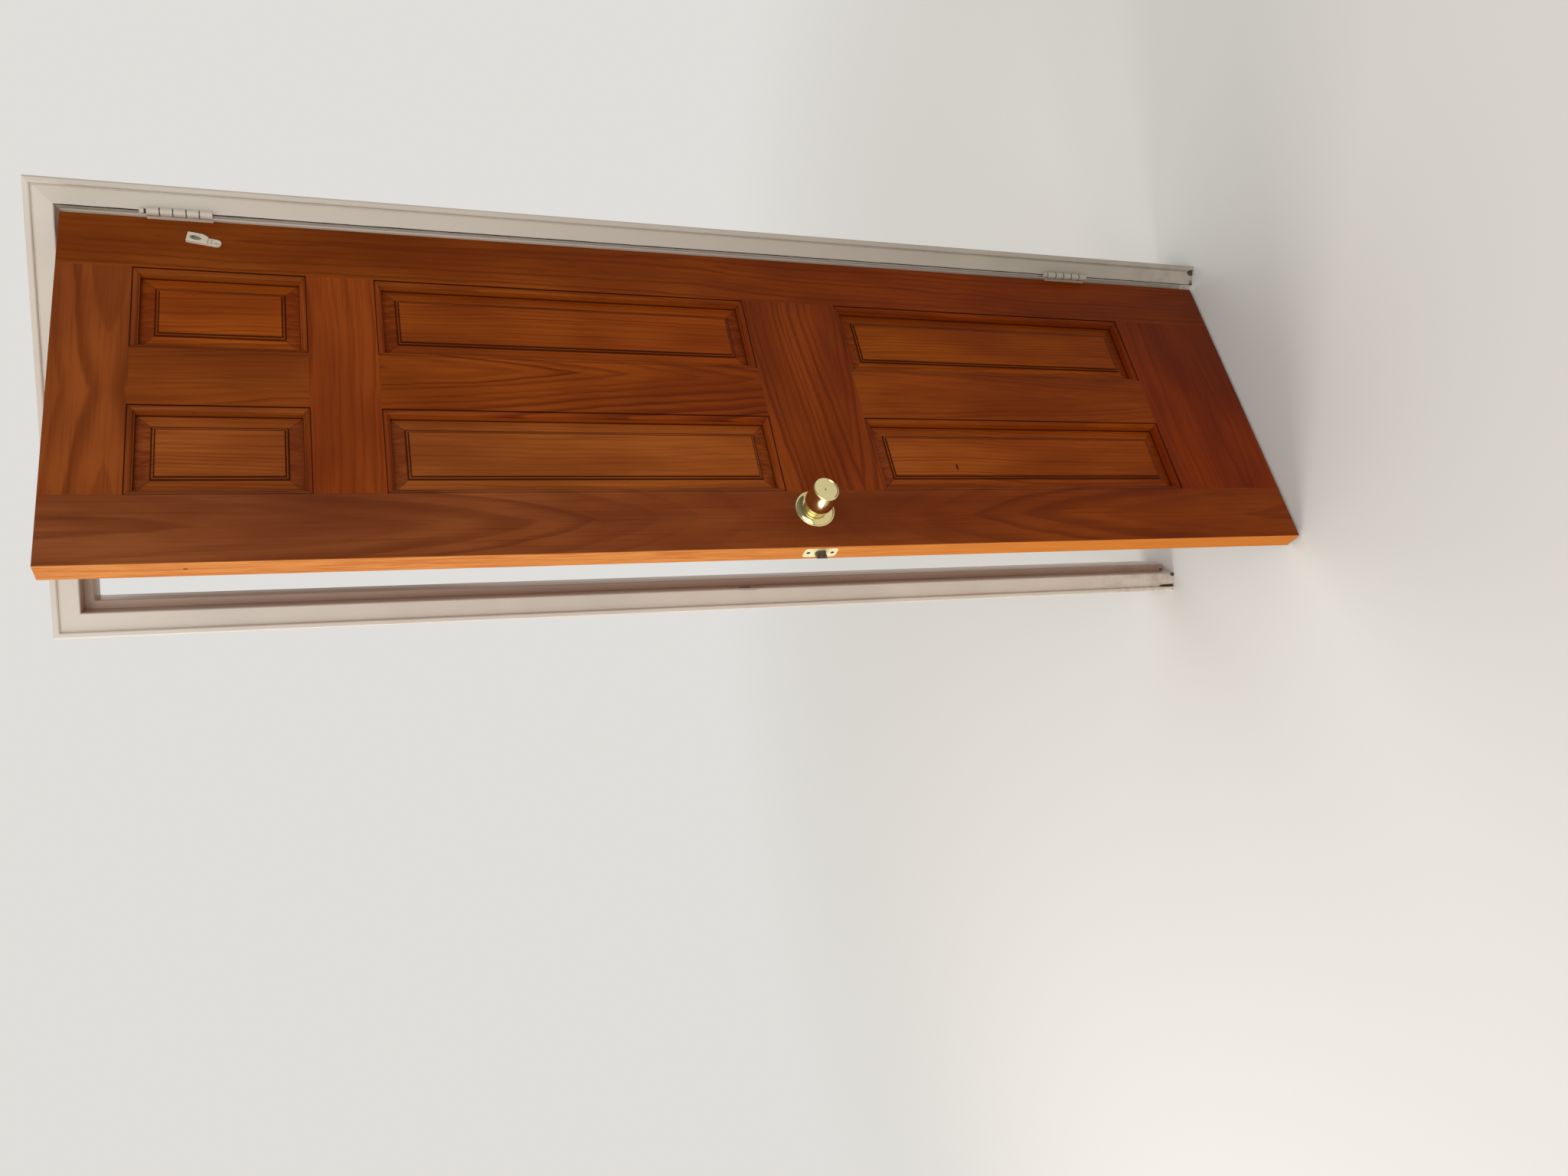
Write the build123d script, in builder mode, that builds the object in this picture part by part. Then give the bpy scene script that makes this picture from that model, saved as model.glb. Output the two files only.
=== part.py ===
from build123d import *
import os
from math import cos, radians, sin, tan

# A six-panel pine closet door standing ajar in its narrow pressed-steel frame.
# Millimetres, +Z up. The origin is on the floor, midway across the doorway, in the plane of
# the frame's flat front face. +X is the hinge side and the leaf opens towards -Y.

# Leaf
leaf_width = 597.0
leaf_height = 2032.0
leaf_thickness = 35.0
ajar_angle = 36.8
latch_stile_width = 106.0
hinge_stile_width = 98.0
mullion_width = 100.0
top_rail_height = 97.0
short_panel_height = 232.0
frieze_rail_height = 98.0
tall_panel_height = 602.0
lock_rail_height = 174.0
bottom_rail_height = 224.0

# Gaps around the shut leaf
hinge_gap = 3.0
latch_gap = 4.0
head_gap = 7.0
floor_gap = 7.0
leaf_setback = 0.5
stop_gap = 4.5

# Moulding along the panel openings, measured into the opening and down from the leaf's face
sticking_width = 9.4
sticking_shoulder = 1.4
sticking_depth = 6.4
quirk_width = 0.6
quirk_depth = 1.3

# Raised panels and the grooves that hold them
groove_depth = 4.0
tongue_clearance = 1.5
tongue_thickness = 6.2
groove_play = 0.1
bevel_start = 10.5
bevel_width = 19.0
bevel_rise = 2.2
ledge_width = 3.0
step_width = 1.0
step_rise = 1.6

# Frame section: the sheet, its face, bead, rabbet and stop
frame_sheet = 1.5
face_width = 26.5
face_groove_width = 2.0
face_groove_depth = 1.6
bead_width = 10.0
bead_rise = 3.0
bead_radius = 3.0
stop_projection = 14.0
soffit_depth = 58.0
wall_return = 10.0
fold_radius = 2.2
paint_fillet = 0.7

# Butt hinges
hinge_height = 88.9
hinge_reach = 43.0
hinge_plate = 2.4
barrel_radius = 6.35
barrel_clearance = 0.5
knuckle_count = 5
knuckle_gap = 0.8
pin_radius = 3.1
pin_play = 0.06
pin_stand_off = 11.0
pin_head_radius = 4.8
pin_head_height = 6.5
pin_head_fillet = 1.6
top_hinge_drop = 113.5
bottom_hinge_rise = 265.0
pin_lifts = {"bottom": 0.6, "top": 3.0}
mortise_play = 0.2
reinforcement_thickness = 4.0
reinforcement_margin = 14.0

# Hinge screws
screw_play = 0.05
screw_head_angle = 82.0
hinge_screw_head_radius = 4.4
hinge_screw_radius = 2.3
hinge_screw_rows = 3
hinge_screw_end = 12.7
hinge_screw_near = 22.5
hinge_screw_far = 36.0
wood_screw_length = 34.0
machine_screw_length = 8.0
screw_slot_width = 1.0
screw_slot_depth = 0.8
screw_point_radius = 0.5

# Knob set
knob_rail_drop = 40.5
backset = 70.0
cross_bore_radius = 27.0
edge_bore_radius = 11.9
rose_radius = 33.3
rose_rim_width = 3.2
rose_rim_height = 3.0
rose_dome_start = 2.2
rose_dome_height = 6.6
rose_collar_radius = 18.0
rose_height = 9.0
rose_sheet = 1.2
rose_edge_fillet = 0.4
neck_radius = 12.6
neck_play = 0.3
knob_projection = 60.2
knob_waist_height = 11.5
knob_belly_radius = 23.3
knob_belly_height = 27.0
knob_rim_radius = 21.0
knob_rim_height = 2.6
knob_rim_width = 1.6
knob_rim_corner = 0.5
knob_rim_taper = 0.05
knob_dish = 1.8
chassis_radius = 26.0
chassis_length = 33.0
chassis_wall = 2.0
spindle_width = 7.0
spindle_play = 0.05
spindle_overlap = 24.0
finger_radius = 14.0
finger_width = 4.0
finger_lean = 25.0

# Latch
faceplate_height = 57.0
faceplate_width = 25.4
faceplate_thickness = 2.4
faceplate_radius = 6.35
small_screw_head_radius = 3.25
small_screw_radius = 2.0
faceplate_screw_spacing = 41.0
faceplate_screw_length = 19.0
bolt_width = 13.0
bolt_height = 17.0
bolt_corner = 4.0
bolt_throw = 12.7
bolt_length = 30.0
bolt_bevel = 11.0
bolt_play = 0.3
case_radius = 11.6
case_inner_radius = 9.9
case_length = 43.0
tail_thickness = 3.0
tail_height = 2.0
tail_drop = 5.5
hook_plate_drop = 9.0
hook_plate_height = 6.0
tail_slack = 0.3

# Strike
strike_height = 70.0
strike_width = 28.6
strike_sheet = 1.5
strike_radius = 3.0
strike_hole_width = 17.0
strike_hole_height = 24.0
strike_lip_height = 32.0
strike_lip_reach = 3.4
strike_screw_spacing = 54.0
strike_screw_length = 9.0
strike_box_depth = 16.0
strike_box_wall = 1.2
strike_box_margin = 1.0
strike_backing = 3.0
strike_backing_margin = 6.0

# Floor clips in the jamb feet
clip_sheet = 3.0
clip_length = 42.0
clip_depth = 36.0
clip_upstand = 60.0
clip_hole_radius = 4.5
clip_hole_spacing = 20.0

# Dowels that join the rails and mullions
dowel_radius = 6.0
dowel_length = 96.0
dowel_inset = 24.0
mullion_dowel_length = 60.0

# Adhesive hook on the hinge stile
hook_from_edge = 35.6
hook_drop = 167.0
hook_tilt = 10.2
hook_width = 17.0
hook_body_height = 29.0
hook_body_thickness = 5.5
hook_corner_cut = 8.0
hook_tongue_width = 13.0
hook_tongue_height = 18.5
hook_tongue_thickness = 2.6
hook_edge_fillet = 0.9
hook_dent_width = 7.0
hook_dent_height = 14.0
hook_dent_depth = 1.8

# Sizes worked out from the driving dimensions
opening_half = (leaf_width + hinge_gap + latch_gap) / 2
opening_height = floor_gap + leaf_height + head_gap
rabbet_depth = leaf_setback + leaf_thickness + stop_gap
soffit_back = rabbet_depth + soffit_depth
bead_start = face_width + face_groove_width
frame_edge = bead_start + bead_width
half_thickness = leaf_thickness / 2
panel_opening_width = (leaf_width - latch_stile_width - hinge_stile_width - mullion_width) / 2
lower_panel_height = (
    leaf_height - top_rail_height - short_panel_height - frieze_rail_height
    - tall_panel_height - lock_rail_height - bottom_rail_height
)
latch_stile_start = leaf_width - latch_stile_width
knob_across = leaf_width - backset
hook_top = leaf_height - hook_drop

# Heights of the panel openings and of the knob, which sits in the lock rail, above the foot
lower_top = bottom_rail_height + lower_panel_height
middle_bottom = lower_top + lock_rail_height
middle_top = middle_bottom + tall_panel_height
upper_bottom = middle_top + frieze_rail_height
upper_top = upper_bottom + short_panel_height
knob_height = middle_bottom - knob_rail_drop
rows = {
    "lower": (bottom_rail_height, lower_top),
    "middle": (middle_bottom, middle_top),
    "upper": (upper_bottom, upper_top),
}

# Where the two columns of panels start and end, from the leaf's hinge edge
columns = {
    "hinge": (hinge_stile_width, hinge_stile_width + panel_opening_width),
    "latch": (latch_stile_start - panel_opening_width, latch_stile_start),
}

mullion_start = columns["hinge"][1]
mullion_end = columns["latch"][0]

# The rails' feet and heads, and the dowels in their ends; below the knob the lock rail's
# upper dowel keeps clear of the bore for the knob set.
lock_dowel = knob_height - cross_bore_radius - 2 * dowel_radius
rails = {
    "bottom_rail": (0, bottom_rail_height, bottom_rail_height - dowel_inset),
    "lock_rail": (lower_top, middle_bottom, lock_dowel),
    "frieze_rail": (middle_top, upper_bottom, upper_bottom - dowel_inset),
    "top_rail": (upper_top, leaf_height, leaf_height - dowel_inset),
}

# The hinge pins' line, and the hinges' middles above the leaf's foot
pin_x = opening_half - hinge_gap / 2
pin_y = -pin_stand_off
hinge_middles = {
    "bottom": bottom_hinge_rise + hinge_height / 2,
    "top": leaf_height - top_hinge_drop - hinge_height / 2,
}
knuckle_pitch = hinge_height / knuckle_count

# The leaf's own plane: x runs from the hinge edge to the free edge, y runs up and z runs
# down into the thickness, all turned about the hinge pins to where the leaf stands ajar.
swing_cos = cos(radians(ajar_angle))
swing_sin = sin(radians(ajar_angle))
edge_x = -hinge_gap / 2
edge_y = leaf_setback + pin_stand_off
leaf_plane = Plane(
    origin=(
        pin_x + edge_x * swing_cos - edge_y * swing_sin,
        pin_y + edge_x * swing_sin + edge_y * swing_cos,
        floor_gap,
    ),
    x_dir=(-swing_cos, -swing_sin, 0),
    z_dir=(-swing_sin, swing_cos, 0),
)
middle_plane = leaf_plane.offset(half_thickness)


def leaf_at(across, up, deep):
    """The point of the leaf at these distances from its hinge edge, foot and front face."""
    return leaf_plane.from_local_coords(Vector(across, up, deep))


def leaf_way(across, up, deep):
    """A direction given along the leaf's width, height and thickness."""
    return leaf_plane.x_dir * across + leaf_plane.y_dir * up + leaf_plane.z_dir * deep


def save(builder, name):
    """Labels a finished piece and writes it as its own STEP file."""
    builder.part.label = name
    export_step(builder.part, "parts/" + name + ".step")


os.makedirs("parts", exist_ok=True)


# Screws, shared by the hinges, the latch and the strike


def head_depth(head_radius, shank_radius):
    """How deep a countersunk head of these radii is."""
    return (head_radius - shank_radius) / tan(radians(screw_head_angle / 2))


def drive_screw(plane, head_radius, shank_radius, length):
    """Adds a slotted countersunk screw: its head lies in the plane, its point runs behind."""
    with Locations(plane.location):
        depth = head_depth(head_radius, shank_radius)
        top = (Align.CENTER, Align.CENTER, Align.MAX)
        Cone(shank_radius, head_radius, depth, align=top)
        Cylinder(shank_radius, length - shank_radius, align=top)
        Box(2 * head_radius, screw_slot_width, screw_slot_depth, align=top, mode=Mode.SUBTRACT)
    with Locations(plane.offset(shank_radius - length).location):
        Cone(screw_point_radius, shank_radius, shank_radius, align=top)


def sink_hole(plane, head_radius, shank_radius, length):
    """Cuts the countersunk hole that such a screw fills."""
    play = screw_play
    with Locations(plane.location):
        CounterSinkHole(shank_radius + play, head_radius + play, length, screw_head_angle)


# Frame members: one folded section, run along each side of the doorway and mitred


def frame_outline():
    """The visible line of the folded sheet and the radius of each of its folds."""
    groove_back = soffit_back - face_groove_depth
    points = [
        (frame_edge, wall_return),
        (frame_edge, -bead_rise),
        (bead_start, -bead_rise),
        (bead_start, face_groove_depth),
        (face_width, face_groove_depth),
        (face_width, 0),
        (0, 0),
        (0, rabbet_depth),
        (-stop_projection, rabbet_depth),
        (-stop_projection, soffit_back),
        (face_width, soffit_back),
        (face_width, groove_back),
        (bead_start, groove_back),
        (bead_start, soffit_back + bead_rise),
        (frame_edge, soffit_back + bead_rise),
        (frame_edge, soffit_back - wall_return),
    ]
    edge = [bead_radius, bead_radius, paint_fillet, paint_fillet, paint_fillet]
    return points, edge + [fold_radius] * 4 + edge[::-1]


def hidden_outline(points, radii):
    """The same line one sheet thickness inside, towards the wall."""
    vertices = [Vector(*point) for point in points]
    ways = [(b - a).normalized() for a, b in zip(vertices, vertices[1:])]
    insides = [Vector(way.Y, -way.X) * frame_sheet for way in ways]
    inner = [vertices[0] + insides[0]]
    inner_radii = []
    for i, radius in enumerate(radii):
        inner.append(vertices[i + 1] + insides[i] + insides[i + 1])
        turns_away = ways[i].cross(ways[i + 1]).Z > 0
        if radius < fold_radius:
            inner_radii.append(radius if turns_away else 0)
        else:
            inner_radii.append(radius + frame_sheet if turns_away else max(radius - frame_sheet, 0))
    inner.append(vertices[-1] + insides[-1])
    return inner, inner_radii


def frame_section(plane):
    """The folded sheet's section on a plane across its run."""
    points, radii = frame_outline()
    inner, inner_radii = hidden_outline(points, radii)
    with BuildSketch(plane) as section:
        with BuildLine():
            visible = FilletPolyline(*points, radius=radii)
            hidden = FilletPolyline(*inner, radius=inner_radii)
            Line(visible @ 0, hidden @ 0)
            Line(visible @ 1, hidden @ 1)
        make_face()
    return section.sketch


def jamb_plane(side):
    """The plane of a jamb's section: x runs away from the doorway and y into the wall."""
    return Plane(origin=(side * opening_half, 0, 0), x_dir=(side, 0, 0), z_dir=(0, 0, side))


def mitre_plane(side):
    """The plane of a top corner's mitre, facing down and outwards."""
    return Plane(origin=(side * opening_half, 0, opening_height), z_dir=(side, 0, -1))


def run_jamb(side):
    """Stands a jamb's folded sheet on the floor and mitres its head."""
    extrude(frame_section(jamb_plane(side)), amount=side * (opening_height + frame_edge))
    split(bisect_by=mitre_plane(side), keep=Keep.TOP)


def jamb_box(side, u_range, y_range, z_range, mode=Mode.ADD):
    """A block in a jamb, given by its distances from the rabbet face, face and floor."""
    ends = [side * (opening_half + u) for u in u_range]
    middle = (sum(ends) / 2, sum(y_range) / 2, sum(z_range) / 2)
    with Locations(middle):
        Box(
            abs(ends[1] - ends[0]),
            y_range[1] - y_range[0],
            z_range[1] - z_range[0],
            mode=mode,
        )


# Hinges: plates let into the jamb and the stile, with interlocking knuckles on one pin


def hinge_plane(middle, toward, reach):
    """A hinge leaf's plane: x towards the member it is let into, y along its plate."""
    return Plane(origin=middle, x_dir=toward, z_dir=Vector(*toward).cross(Vector(*reach)))


def frame_hinge_plane(name):
    """The plane of the hinge leaf on the frame."""
    return hinge_plane((pin_x, pin_y, floor_gap + hinge_middles[name]), (1, 0, 0), (0, 1, 0))


def door_hinge_plane(name):
    """The plane of the hinge leaf on the door, which turns with it."""
    middle = leaf_at(edge_x, hinge_middles[name], -edge_y)
    return hinge_plane(middle, leaf_way(1, 0, 0), leaf_way(0, 0, 1))


def hinge_screw_planes(plane):
    """Where one hinge leaf's screws go: planes in the plate's face, facing the gap."""
    step = (hinge_height - 2 * hinge_screw_end) / (hinge_screw_rows - 1)
    planes = []
    for row in range(hinge_screw_rows):
        along = hinge_screw_near if row % 2 else hinge_screw_far
        height = hinge_screw_end + row * step - hinge_height / 2
        spot = plane.from_local_coords(Vector(hinge_gap / 2, along, height))
        planes.append(Plane(origin=spot, x_dir=plane.y_dir, z_dir=-plane.x_dir))
    return planes


def make_hinge_leaf(plane, own):
    """Builds the plate and every second knuckle: those in own, counted from the end."""
    start = plane.offset(-hinge_height / 2)
    with BuildSketch(start) as plate:
        with Locations((hinge_gap / 2, 0)):
            Rectangle(hinge_plate, hinge_reach, align=Align.MIN)
    extrude(plate.sketch, amount=hinge_height)
    for knuckle in range(knuckle_count):
        mine = knuckle in own
        margin = knuckle_gap / 2 if mine else -knuckle_gap / 2
        low = knuckle * knuckle_pitch + margin
        radius = barrel_radius if mine else barrel_radius + barrel_clearance
        with BuildSketch(start.offset(low)) as ring:
            Circle(radius)
        mode = Mode.ADD if mine else Mode.SUBTRACT
        extrude(ring.sketch, amount=knuckle_pitch - 2 * margin, mode=mode)
    with BuildSketch(start) as bore:
        Circle(pin_radius + pin_play)
    extrude(bore.sketch, amount=hinge_height, mode=Mode.SUBTRACT)
    for spot in hinge_screw_planes(plane):
        sink_hole(spot, hinge_screw_head_radius, hinge_screw_radius, hinge_plate)


# Leaf joinery


def lip(start, end, toward):
    """The plan of the moulded lip along one edge of an opening, mitred at both ends."""
    first, last, into = Vector(*start), Vector(*end), Vector(*toward)
    along = (last - first).normalized()
    inner_start = first + (along + into) * sticking_width
    inner_end = last + (into - along) * sticking_width
    corners = [first, inner_start, inner_end, last]
    Polygon(*[(corner.X, corner.Y) for corner in corners], align=None)


def cut_sticking(start, end, toward):
    """Runs the moulding on both faces and the panel's groove along one edge."""
    first, last = Vector(*start), Vector(*end)
    middle = (first + last) / 2
    way = leaf_way(toward[0], toward[1], 0)
    origin = leaf_at(middle.X, middle.Y, half_thickness)
    ovolo_end = sticking_width - sticking_shoulder
    curve_width = ovolo_end - quirk_width
    curve_depth = sticking_depth - quirk_depth
    reach = sticking_width + 1
    face = -half_thickness
    with BuildSketch(Plane(origin=origin, x_dir=way, z_dir=way.cross(leaf_plane.z_dir))) as cutter:
        with BuildLine():
            quirk = (quirk_width, face + quirk_depth)
            Polyline((reach, face - 1), (0, face - 1), (0, face + quirk_depth), quirk)
            centre = (quirk_width, face + sticking_depth)
            EllipticalCenterArc(centre, curve_width, curve_depth, 270, arc_size=90)
            shoulder = (ovolo_end, face + sticking_depth)
            Polyline(shoulder, (reach, face + sticking_depth), (reach, face - 1))
        make_face()
        mirror(about=Plane.XZ)
        with Locations((-groove_depth, 0)):
            Rectangle(
                groove_depth + reach,
                tongue_thickness + 2 * groove_play,
                align=(Align.MIN, Align.CENTER),
            )
    run = (last - first).length / 2 + groove_depth
    extrude(cutter.sketch, amount=run, both=True, mode=Mode.SUBTRACT)


def make_member(left, right, foot, head, edges):
    """Cuts one stile, rail or mullion: a board with lips on its edges beside the openings."""
    with BuildSketch(leaf_plane) as plan:
        with Locations((left, foot)):
            Rectangle(right - left, head - foot, align=Align.MIN)
        for start, end, toward in edges:
            lip(start, end, toward)
    extrude(plan.sketch, amount=leaf_thickness)
    for start, end, toward in edges:
        cut_sticking(start, end, toward)


def stile_edges(across, toward):
    """A stile's edges beside the three rows of openings."""
    return [((across, low), (across, high), toward) for low, high in rows.values()]


def rail_edges(foot, head):
    """A rail's edges above and below the openings that it borders."""
    edges = []
    for left, right in columns.values():
        if foot > 0:
            edges.append(((left, foot), (right, foot), (0, -1)))
        if head < leaf_height:
            edges.append(((left, head), (right, head), (0, 1)))
    return edges


def dowel(across, up, way, length):
    """Adds one dowel, centred on the joint that it holds."""
    origin = leaf_at(across, up, half_thickness)
    with BuildSketch(Plane(origin=origin, x_dir=leaf_plane.z_dir, z_dir=way)) as ring:
        Circle(dowel_radius)
    extrude(ring.sketch, amount=length / 2, both=True)


def cut_hinge_mortises():
    """Lets both hinges' plates into the hinge edge and bores for their screws."""
    for name in hinge_middles:
        plane = door_hinge_plane(name)
        plate_middle = plane.from_local_coords(
            Vector((hinge_gap + hinge_plate) / 2, hinge_reach / 2, 0)
        )
        spot = Plane(origin=plate_middle, x_dir=plane.x_dir, z_dir=plane.z_dir)
        with Locations(spot.location):
            Box(
                hinge_plate,
                hinge_reach + 2 * mortise_play,
                hinge_height + 2 * mortise_play,
                mode=Mode.SUBTRACT,
            )
        for spot in hinge_screw_planes(plane):
            with Locations(spot.location):
                Hole(hinge_screw_radius + screw_play, wood_screw_length)


def bolt_outline(growth=0):
    """The latch bolt's round-topped section, seen from the free edge of the leaf."""
    RectangleRounded(bolt_height + 2 * growth, bolt_width + 2 * growth, bolt_corner + growth)


def edge_plane(across):
    """A plane across the latch's axis: x runs up, y through the thickness, z outwards."""
    origin = leaf_at(across, knob_height, half_thickness)
    return Plane(origin=origin, x_dir=leaf_way(0, 1, 0), z_dir=leaf_way(1, 0, 0))


def faceplate_outline(growth=0):
    """The faceplate's outline with its rounded corners."""
    RectangleRounded(
        faceplate_height + 2 * growth,
        faceplate_width + 2 * growth,
        faceplate_radius + growth,
    )


def faceplate_screw_planes():
    """Where the faceplate's two screws go."""
    plane = edge_plane(leaf_width)
    half = faceplate_screw_spacing / 2
    spots = [plane.from_local_coords(Vector(side * half, 0, 0)) for side in (-1, 1)]
    return [Plane(origin=spot, x_dir=plane.y_dir, z_dir=plane.z_dir) for spot in spots]


def cut_latch_bores():
    """Bores the latch stile for the knob set, the latch and the faceplate."""
    with BuildSketch(leaf_plane) as bore:
        with Locations((knob_across, knob_height)):
            Circle(cross_bore_radius)
    extrude(bore.sketch, amount=leaf_thickness, mode=Mode.SUBTRACT)
    with BuildSketch(edge_plane(knob_across)) as tunnel:
        Circle(edge_bore_radius)
    extrude(tunnel.sketch, amount=backset, mode=Mode.SUBTRACT)
    with BuildSketch(edge_plane(leaf_width)) as seat:
        faceplate_outline(mortise_play)
    extrude(seat.sketch, amount=-faceplate_thickness, mode=Mode.SUBTRACT)
    for spot in faceplate_screw_planes():
        with Locations(spot.location):
            Hole(small_screw_radius + screw_play, faceplate_screw_length)


# Frame

with BuildPart() as hinge_jamb:
    run_jamb(1)
    for name, middle in hinge_middles.items():
        height = floor_gap + middle
        half = hinge_height / 2 + mortise_play
        window_end = hinge_reach - pin_stand_off + mortise_play
        jamb_box(
            1,
            (-fold_radius, hinge_plate),
            (-frame_sheet, window_end),
            (height - half, height + half),
            mode=Mode.SUBTRACT,
        )
save(hinge_jamb, "hinge_jamb")

with BuildPart() as strike_jamb:
    run_jamb(-1)
    strike_y = leaf_setback + half_thickness
    strike_z = floor_gap + knob_height
    half_width = strike_width / 2 + mortise_play
    half_height = strike_height / 2 + mortise_play
    half_lip = strike_lip_height / 2 + mortise_play
    window_front = strike_y - half_width
    jamb_box(
        -1,
        (-fold_radius, frame_sheet),
        (window_front, strike_y + half_width),
        (strike_z - half_height, strike_z + half_height),
        mode=Mode.SUBTRACT,
    )
    jamb_box(
        -1,
        (-fold_radius, fold_radius),
        (-frame_sheet, window_front),
        (strike_z - half_lip, strike_z + half_lip),
        mode=Mode.SUBTRACT,
    )
save(strike_jamb, "strike_jamb")

with BuildPart() as head_jamb:
    head_plane = Plane(
        origin=(opening_half + frame_edge, 0, opening_height), x_dir=(0, 0, 1), z_dir=(-1, 0, 0)
    )
    extrude(frame_section(head_plane), amount=2 * (opening_half + frame_edge))
    for side in (-1, 1):
        split(bisect_by=mitre_plane(side), keep=Keep.BOTTOM)
save(head_jamb, "head_jamb")

# Hinge plates and pins

for name in hinge_middles:
    frame_plane = frame_hinge_plane(name)
    door_plane = door_hinge_plane(name)
    height = floor_gap + hinge_middles[name]

    with BuildPart() as hinge_reinforcement:
        half = hinge_height / 2 + reinforcement_margin
        jamb_box(
            1,
            (frame_sheet, frame_sheet + reinforcement_thickness),
            (frame_sheet + fold_radius, rabbet_depth - fold_radius),
            (height - half, height + half),
        )
        half = hinge_height / 2 + mortise_play
        jamb_box(
            1,
            (0, hinge_plate),
            (0, hinge_reach - pin_stand_off + mortise_play),
            (height - half, height + half),
            mode=Mode.SUBTRACT,
        )
        for spot in hinge_screw_planes(frame_plane):
            with Locations(spot.location):
                Hole(hinge_screw_radius + screw_play, 2 * machine_screw_length)
    save(hinge_reinforcement, name + "_hinge_reinforcement")

    with BuildPart() as frame_leaf:
        make_hinge_leaf(frame_plane, (0, 2, 4))
    save(frame_leaf, name + "_hinge_frame_leaf")

    with BuildPart() as door_leaf:
        make_hinge_leaf(door_plane, (1, 3))
    save(door_leaf, name + "_hinge_door_leaf")

    with BuildPart() as hinge_pin:
        low = height - hinge_height / 2 + pin_lifts[name]
        with Locations((pin_x, pin_y, low)):
            foot = (Align.CENTER, Align.CENTER, Align.MIN)
            Cylinder(pin_radius, hinge_height, align=foot)
        with Locations((pin_x, pin_y, low + hinge_height)):
            Cylinder(pin_head_radius, pin_head_height, align=foot)
        fillet(hinge_pin.edges().sort_by(Axis.Z)[-1], pin_head_fillet)
    save(hinge_pin, name + "_hinge_pin")

with BuildPart() as frame_hinge_screws:
    for name in hinge_middles:
        for spot in hinge_screw_planes(frame_hinge_plane(name)):
            drive_screw(
                spot, hinge_screw_head_radius, hinge_screw_radius, machine_screw_length
            )
save(frame_hinge_screws, "frame_hinge_screws")

with BuildPart() as door_hinge_screws:
    for name in hinge_middles:
        for spot in hinge_screw_planes(door_hinge_plane(name)):
            drive_screw(spot, hinge_screw_head_radius, hinge_screw_radius, wood_screw_length)
save(door_hinge_screws, "door_hinge_screws")

# Strike, seen from the doorway: x runs into the wall and y up

strike_plane = Plane(
    origin=(-opening_half, strike_y, strike_z), x_dir=(0, 1, 0), z_dir=(1, 0, 0)
)
strike_front = -strike_width / 2
strike_screws_at = [(0, side * strike_screw_spacing / 2) for side in (-1, 1)]

with BuildPart() as strike_plate:
    with BuildSketch(strike_plane) as outline:
        RectangleRounded(strike_width, strike_height, strike_radius)
        with Locations((strike_front - strike_lip_reach / 2, 0)):
            Rectangle(strike_lip_reach, strike_lip_height)
        RectangleRounded(
            strike_hole_width, strike_hole_height, strike_radius, mode=Mode.SUBTRACT
        )
    extrude(outline.sketch, amount=-strike_sheet)
    for x, y in strike_screws_at:
        spot = Plane(
            origin=strike_plane.from_local_coords(Vector(x, y, 0)), x_dir=(0, 1, 0), z_dir=(1, 0, 0)
        )
        sink_hole(spot, small_screw_head_radius, small_screw_radius, strike_sheet)
save(strike_plate, "strike_plate")

with BuildPart() as strike_box:
    backing = strike_plane.offset(-frame_sheet)
    with BuildSketch(backing) as plate:
        Rectangle(strike_width, strike_height + 2 * strike_backing_margin)
    extrude(plate.sketch, amount=-strike_backing)
    cup_width = strike_hole_width + 2 * strike_box_margin
    cup_height = strike_hole_height + 2 * strike_box_margin
    with BuildSketch(backing.offset(-strike_backing)) as cup:
        Rectangle(cup_width + 2 * strike_box_wall, cup_height + 2 * strike_box_wall)
    extrude(cup.sketch, amount=-strike_box_depth)
    with BuildSketch(backing) as hollow:
        Rectangle(cup_width, cup_height)
    extrude(
        hollow.sketch,
        amount=-strike_backing - strike_box_depth + strike_box_wall,
        mode=Mode.SUBTRACT,
    )
    for x, y in strike_screws_at:
        spot = backing.from_local_coords(Vector(x, y, 0))
        with Locations(Plane(origin=spot, x_dir=(0, 1, 0), z_dir=(1, 0, 0)).location):
            Hole(small_screw_radius + screw_play, 2 * strike_backing)
save(strike_box, "strike_box")

with BuildPart() as strike_screws:
    for x, y in strike_screws_at:
        spot = strike_plane.from_local_coords(Vector(x, y, 0))
        drive_screw(
            Plane(origin=spot, x_dir=(0, 1, 0), z_dir=(1, 0, 0)),
            small_screw_head_radius,
            small_screw_radius,
            strike_screw_length,
        )
save(strike_screws, "strike_screws")

# Floor clips inside the jambs' feet

for side, name in ((-1, "strike_floor_clip"), (1, "hinge_floor_clip")):
    with BuildPart() as floor_clip:
        back = frame_sheet - stop_projection
        middle = rabbet_depth + soffit_depth / 2
        depths = (middle - clip_depth / 2, middle + clip_depth / 2)
        jamb_box(side, (back, back + clip_length), depths, (0, clip_sheet))
        jamb_box(side, (back, back + clip_sheet), depths, (0, clip_upstand))
        hole_middle = opening_half + back + clip_length / 2
        holes = [hole_middle - clip_hole_spacing / 2, hole_middle + clip_hole_spacing / 2]
        with Locations(*[(side * hole, middle, clip_sheet) for hole in holes]):
            Hole(clip_hole_radius, clip_sheet)
    save(floor_clip, name)

# Dowels through the joints of the leaf

with BuildPart() as dowels:
    for foot, head, upper in rails.values():
        for up in (foot + dowel_inset, upper):
            for across in (hinge_stile_width, latch_stile_start):
                dowel(across, up, leaf_way(1, 0, 0), dowel_length)
    for low, high in rows.values():
        for up in (low, high):
            dowel((mullion_start + mullion_end) / 2, up, leaf_way(0, 1, 0), mullion_dowel_length)
save(dowels, "dowels")

# Stiles, rails and mullions

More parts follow.
